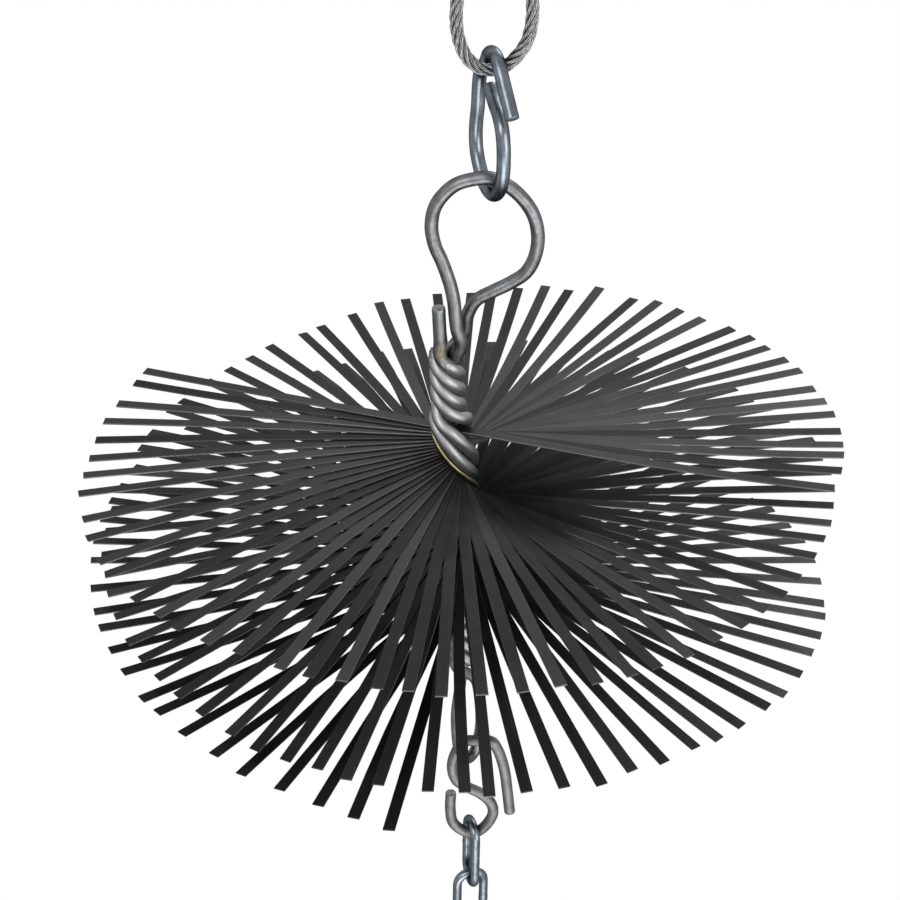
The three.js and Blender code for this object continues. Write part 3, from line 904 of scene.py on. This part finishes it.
def zinc_bloom():
    """Cloudy patches of zinc, and the pale specks where it has dulled."""
    group, given, gives = shader_group(
        "zinc_bloom",
        [("Vector", "Vector", None), ("Size", "Float", 300.0), ("Speck Share", "Float", 0.3)],
        [("Cloud", "Float"), ("Speck", "Float")])
    cloud = noise_over(group, given["Vector"], given["Size"], detail=4.0, roughness=0.6)
    group.links.new(ranged(group, cloud, *CLOUD_RANGE), gives["Cloud"])
    finer = worked_out(group, "MULTIPLY", given["Size"], SPECK_FINER)
    specks = noise_over(group, given["Vector"], finer, detail=2.0)
    rarity = worked_out(group, "SUBTRACT", SPECK_LEVEL, given["Speck Share"])
    above = worked_out(group, "ADD", rarity, SPECK_RANGE)
    group.links.new(ranged(group, specks, rarity, above), gives["Speck"])
    return group


def ragged_spot():
    """A patch with a ragged rim round a point, and chips within it."""
    group, given, gives = shader_group(
        "crushed_spot",
        [("Vector", "Vector", None), ("Centre", "Vector", None), ("Reach", "Float", 0.002)],
        [("Mask", "Float"), ("Chips", "Float")])
    ends = {0: given["Vector"], 1: given["Centre"]}
    away = add(group, "ShaderNodeVectorMath", ends, operation="DISTANCE").outputs["Value"]
    cells = {"Vector": given["Vector"], "Scale": CHIP_SCALE}
    chips = add(group, "ShaderNodeTexVoronoi", cells).outputs["Distance"]
    ragged = noise_over(group, given["Vector"], RAGGED_SCALE, detail=3.0)
    inside = worked_out(group, "DIVIDE", away, given["Reach"])
    uneven = worked_out(group, "MULTIPLY_ADD", ragged, RAGGED_SHARE, inside)
    group.links.new(ranged(group, uneven, *RAGGED_RANGE, 1.0, 0.0), gives["Mask"])
    group.links.new(chips, gives["Chips"])
    return group


GRAIN = drawn_grain()
BLOOM = zinc_bloom()
SPOT = ragged_spot()


def grain_lines(tree, lay, grain):
    """The drawn grain. A grain is (round, along), how fine it is each way."""
    return place_group(tree, GRAIN, {"Lay": lay, "Round": grain[0], "Along": grain[1]})["Grain"]


def spot_at(tree, where, spot):
    """The masks of a ragged spot, which is (centre, reach)."""
    return place_group(tree, SPOT, {"Vector": where, "Centre": spot[0], "Reach": spot[1]})


def new_material(name):
    material = bpy.data.materials.new(name)
    material.use_nodes = True
    tree = material.node_tree
    return material, tree, tree.nodes["Principled BSDF"]


def finish_metal(tree, shader, colour, roughness, bump, metallic, rim):
    """Gives a metal its looks. The bump is (height, strength, distance)."""
    height, strength, distance = bump
    relief = add(tree, "ShaderNodeBump", {"Height": height, "Strength": strength, "Distance": distance})
    tree.links.new(colour, shader.inputs["Base Color"])
    tree.links.new(roughness, shader.inputs["Roughness"])
    tree.links.new(relief.outputs["Normal"], shader.inputs["Normal"])
    shader.inputs["Metallic"].default_value = metallic
    shader.inputs["Specular Tint"].default_value = grey(rim)


def drawn_metal(name, pale, dark, rough, size, specks, grain, bump, rim, crushed=None, highlighted=None):
    """Plated or bare metal: clouds and specks of its surface over drawn lines.

    Crushed is a spot of wear; the other spot is a painted highlight that lightens the neck. Each is
    (centre, reach).
    """
    material, tree, shader = new_material(name)
    where = add(tree, "ShaderNodeTexCoord").outputs["Object"]
    lay = add(tree, "ShaderNodeAttribute", attribute_name="lay").outputs["Vector"]
    bloom = place_group(tree, BLOOM, {"Vector": where, "Size": size, "Speck Share": specks})
    lines = grain_lines(tree, lay, grain)
    clouded = mixed(tree, bloom["Cloud"], dark, pale)
    between = ranged(tree, lines, *LINE_RANGE)
    lined = mixed(tree, between, mixed(tree, LINE_SHADE, clouded, dark), clouded)
    colour = mixed(tree, bloom["Speck"], lined, SPECK)
    roughness = ranged(tree, lines, *LINE_ROUGH_RANGE, *rough)
    if highlighted:
        spot = spot_at(tree, where, highlighted)
        # Painted highlight: the colour is lightened round a point of the neck
        colour = mixed(tree, ranged(tree, spot["Mask"], 0.0, 1.0, 0.0, NECK_HIGHLIGHT_SHARE), colour, PAINTED_NECK_HIGHLIGHT)
        roughness = ranged(tree, spot["Mask"], 0.0, 1.0, roughness, NECK_HIGHLIGHT_ROUGH)
    height = worked_out(tree, "ADD", lines, bloom["Cloud"])
    if crushed:
        spot = spot_at(tree, where, crushed)
        torn = mixed(tree, ranged(tree, spot["Chips"], *CHIP_RANGE), TORN_DARK, TORN_PALE)
        colour = mixed(tree, spot["Mask"], colour, torn)
        roughness = ranged(tree, spot["Mask"], 0.0, 1.0, roughness, TORN_ROUGH)
        chipped = worked_out(tree, "MULTIPLY", spot["Chips"], spot["Mask"])
        height = worked_out(tree, "MULTIPLY_ADD", chipped, TORN_HEIGHT, height)
    finish_metal(tree, shader, colour, roughness, (height, bump, LINE_RELIEF), 1.0, rim)
    return material


def rolled_steel(name, pale, dark, rough, metallic, rim):
    """Dark tempered strip: rolling lines along it, each strip of its own tone, with painted shade on the
    lower strips and sooty ends.
    """
    material, tree, shader = new_material(name)
    lay = add(tree, "ShaderNodeAttribute", attribute_name="lay").outputs["Vector"]
    where = add(tree, "ShaderNodeTexCoord").outputs["Object"]
    lines = grain_lines(tree, scaled(tree, lay, STRIP_STRETCH), STRIP_LINES)
    split = add(tree, "ShaderNodeSeparateXYZ", {"Vector": lay}).outputs
    lot = split["Y"]
    from_core = worked_out(tree, "ABSOLUTE", split["Z"])
    tone = add(tree, "ShaderNodeTexWhiteNoise", {"W": lot}, noise_dimensions="1D").outputs["Value"]
    smudge = noise_over(tree, where, SMUDGE_SCALE, detail=3.0)
    share = worked_out(tree, "MULTIPLY_ADD", lines, smudge, tone)
    toned = mixed(tree, ranged(tree, share, *STRIP_TONE_RANGE), dark, pale)
    scratched = ranged(tree, lines, *SCRATCH_RANGE)
    worn = mixed(tree, scratched, toned, mixed(tree, SCRATCH_SHARE, toned, SCRATCH))
    # Painted shade: the lower strips are darkened towards near black
    shaded_low = mixed(tree, ranged(tree, lot, SHADED_FROM, STRIPS, 0.0, SHADED_LOW), worn, SOOT_AND_SHADE)
    colour = mixed(tree, ranged(tree, from_core, *SOOTY_REACH, 0.0, SOOTY_ENDS), shaded_low, SOOT_AND_SHADE)
    roughness = ranged(tree, smudge, *SMUDGE_RANGE, *rough)
    finish_metal(tree, shader, colour, roughness, (lines, STRIP_BUMP, STRIP_RELIEF), metallic, rim)
    return material


def seen_ray(tree):
    """One for rays from the camera and for reflected or refracted ones, nought for soft light."""
    rays = add(tree, "ShaderNodeLightPath").outputs
    seen = rays["Is Camera Ray"]
    for kind in ("Is Glossy Ray", "Is Transmission Ray"):
        seen = worked_out(tree, "MAXIMUM", seen, rays[kind])
    return seen


def pale_studio(name):
    """Backdrop: plain white where it is seen, directly or in metal, and pale where light falls."""
    material, tree, shader = new_material(name)
    shader.inputs["Base Color"].default_value = grey(STUDIO_PALE)
    shader.inputs["Roughness"].default_value = STUDIO_ROUGH
    white = add(tree, "ShaderNodeEmission", {"Color": grey(1.0), "Strength": 1.0})
    blend = add(tree, "ShaderNodeMixShader", {0: seen_ray(tree), 1: shader.outputs[0], 2: white.outputs[0]})
    tree.links.new(blend.outputs[0], tree.nodes["Material Output"].inputs["Surface"])
    return material


ROPE_STEEL = drawn_metal(
    "rope_steel", pale=grey(0.27, 0.01), dark=grey(0.15, 0.01), rough=(0.26, 0.38),
    size=500.0, specks=0.05, grain=(3.0, 400.0), bump=0.1, rim=0.3)
ALUMINIUM = drawn_metal(
    "pressed_aluminium", pale=grey(0.32, 0.02), dark=grey(0.23, 0.02), rough=(0.3, 0.45),
    size=220.0, specks=0.12, grain=(4.0, 90.0), bump=0.2, rim=0.6)
BRIGHT_ZINC = drawn_metal(
    "bright_zinc", pale=grey(0.19, 0.12), dark=grey(0.115, 0.14), rough=(0.25, 0.35),
    size=180.0, specks=0.08, grain=(4.0, 60.0), bump=0.08, rim=0.3)
DULL_ZINC = drawn_metal(
    "dull_zinc", pale=grey(0.155, 0.01), dark=grey(0.11, 0.01), rough=(0.5, 0.6),
    size=260.0, specks=0.08, grain=(4.0, 70.0), bump=0.12, rim=0.3)
CORE_ZINC = drawn_metal(
    "core_zinc", pale=grey(0.175, 0.03), dark=grey(0.105, 0.03), rough=(0.36, 0.47),
    size=260.0, specks=0.08, grain=(4.0, 70.0), bump=0.1, rim=0.3,
    crushed=(CRUSHED_AT, CRUSHED_REACH), highlighted=(NECK_HIGHLIGHT_AT, NECK_HIGHLIGHT_REACH))
SHEARED = drawn_metal(
    "sheared_end", pale=grey(0.16), dark=grey(0.07), rough=(0.4, 0.6),
    size=900.0, specks=0.3, grain=(9.0, 900.0), bump=0.6, rim=0.5)
BRASS = drawn_metal(
    "brass_wire", pale=(0.36, 0.33, 0.17, 1), dark=(0.24, 0.21, 0.11, 1), rough=(0.35, 0.48),
    size=400.0, specks=0.02, grain=(4.0, 90.0), bump=0.15, rim=0.5)
STRIP_FLAT = rolled_steel(
    "tempered_flat", pale=grey(0.072, 0.015), dark=grey(0.03, 0.015), rough=(0.36, 0.48),
    metallic=0.8, rim=0.6)
STRIP_ROUNDED = rolled_steel(
    "rolled_edge", pale=grey(0.17), dark=grey(0.07), rough=(0.35, 0.5), metallic=0.9, rim=0.6)
STRIP_CUT = rolled_steel(
    "sheared_tip", pale=grey(0.15), dark=grey(0.06), rough=(0.35, 0.55), metallic=0.9, rim=0.6)


# The pieces

rope_line = smooth_route(rope_route(), ROPE_STEP)
rope = piece("laid_rope", laid_rope("laid_rope", rope_line), "rope_sling", "rope", [ROPE_STEEL])
ferrules = [
    piece(f"pressed_ferrule_{where}", pressed_ferrule(f"pressed_ferrule_{where}", height),
          "rope_sling", f"ferrule_{where}", [ALUMINIUM])
    for where, height in (("lower", LOWER_FERRULE), ("upper", UPPER_FERRULE))
]

piece("bent_top_hook", bent_wire("bent_top_hook", top_hook_route(), HOOK_WIRE),
      "hook", "top_hook", [BRIGHT_ZINC, SHEARED])
piece("twisted_eye_wire", bent_wire("twisted_eye_wire", eye_wire_route(), CORE_WIRE, BRUSH),
      "brush", "eye_wire", [CORE_ZINC, SHEARED])
piece("twisted_lower_wire",
      bent_wire("twisted_lower_wire", lower_eye_wire_route(), CORE_WIRE, BRUSH, thickness=eased_loop),
      "brush", "lower_eye_wire", [CORE_ZINC, SHEARED])
piece("brass_packing", bent_wire("brass_packing", packing_route(), PACKING_ROUND, BRUSH, PACKING_SIDES),
      "brush", "packing_wire", [BRASS, BRASS])

blank = strip_blank()
for pack in range(PACKS):
    first = round(STRIPS * pack / PACKS)
    last = round(STRIPS * (pack + 1) / PACKS) - 1
    name = f"strip_fan_{pack + 1}"
    piece(name, strip_fan(name, blank, first, last), "brush", f"strip_pack_{pack + 1}",
          [STRIP_FLAT, STRIP_ROUNDED, STRIP_CUT])
bpy.data.meshes.remove(blank)

piece("bent_s_hook", bent_wire("bent_s_hook", s_hook_route(), WIRE, SWIVEL),
      "lower_hook", "s_hook", [DULL_ZINC, SHEARED])
for number in range(LINKS):
    name = f"welded_link_{number + 1}"
    piece(name, chain_link(name, link_place(number)), f"link_{number + 1}",
          f"chain_link_{number + 1}", [BRIGHT_ZINC])


# Lights and backdrop

SOFT_LIGHT = 0.4
FLOOR_DROP = -1.5
FLOOR_REACH = 12
MIDDLE = Vector((0, 0, -0.32))

# Lamps are (place, size, power)
LAMPS = {
    "key": ((-0.75, -1.35, 0.75), 1.0, 18.0),
    "fill": ((1.15, -1.2, -0.3), 1.1, 20.0),
    "low": ((0.1, -1.0, -1.0), 0.9, 14.0),
    "back": ((0.75, 1.15, 0.72), 0.8, 10.0),
}
for name, (place, size, power) in LAMPS.items():
    lamp = bpy.data.lights.new(name, "AREA")
    lamp.size = size
    lamp.energy = power
    holder = bpy.data.objects.new(name, lamp)
    holder.matrix_world = Matrix.Translation(place) @ (
        Vector(place) - MIDDLE).to_track_quat("Z", "Y").to_matrix().to_4x4()
    bpy.context.collection.objects.link(holder)

floor_mesh = bmesh.new()
bmesh.ops.create_grid(floor_mesh, x_segments=1, y_segments=1, size=FLOOR_REACH)
bmesh.ops.translate(floor_mesh, vec=(0, 0, FLOOR_DROP), verts=floor_mesh.verts)
floor = bpy.data.objects.new("floor", to_mesh(floor_mesh, "floor"))
floor.data.materials.append(pale_studio("pale_floor"))
bpy.context.collection.objects.link(floor)

world = bpy.data.worlds.new("studio")
world.use_nodes = True
bpy.context.scene.world = world
sky = world.node_tree
backdrop = sky.nodes["Background"]
seen = seen_ray(sky)
soft = add(sky, "ShaderNodeMapRange", {"Value": seen, "To Min": SOFT_LIGHT, "To Max": 1.0})
sky.links.new(soft.outputs["Result"], backdrop.inputs["Strength"])
backdrop.inputs["Color"].default_value = grey(1.0)

bpy.context.scene.view_settings.view_transform = "Standard"
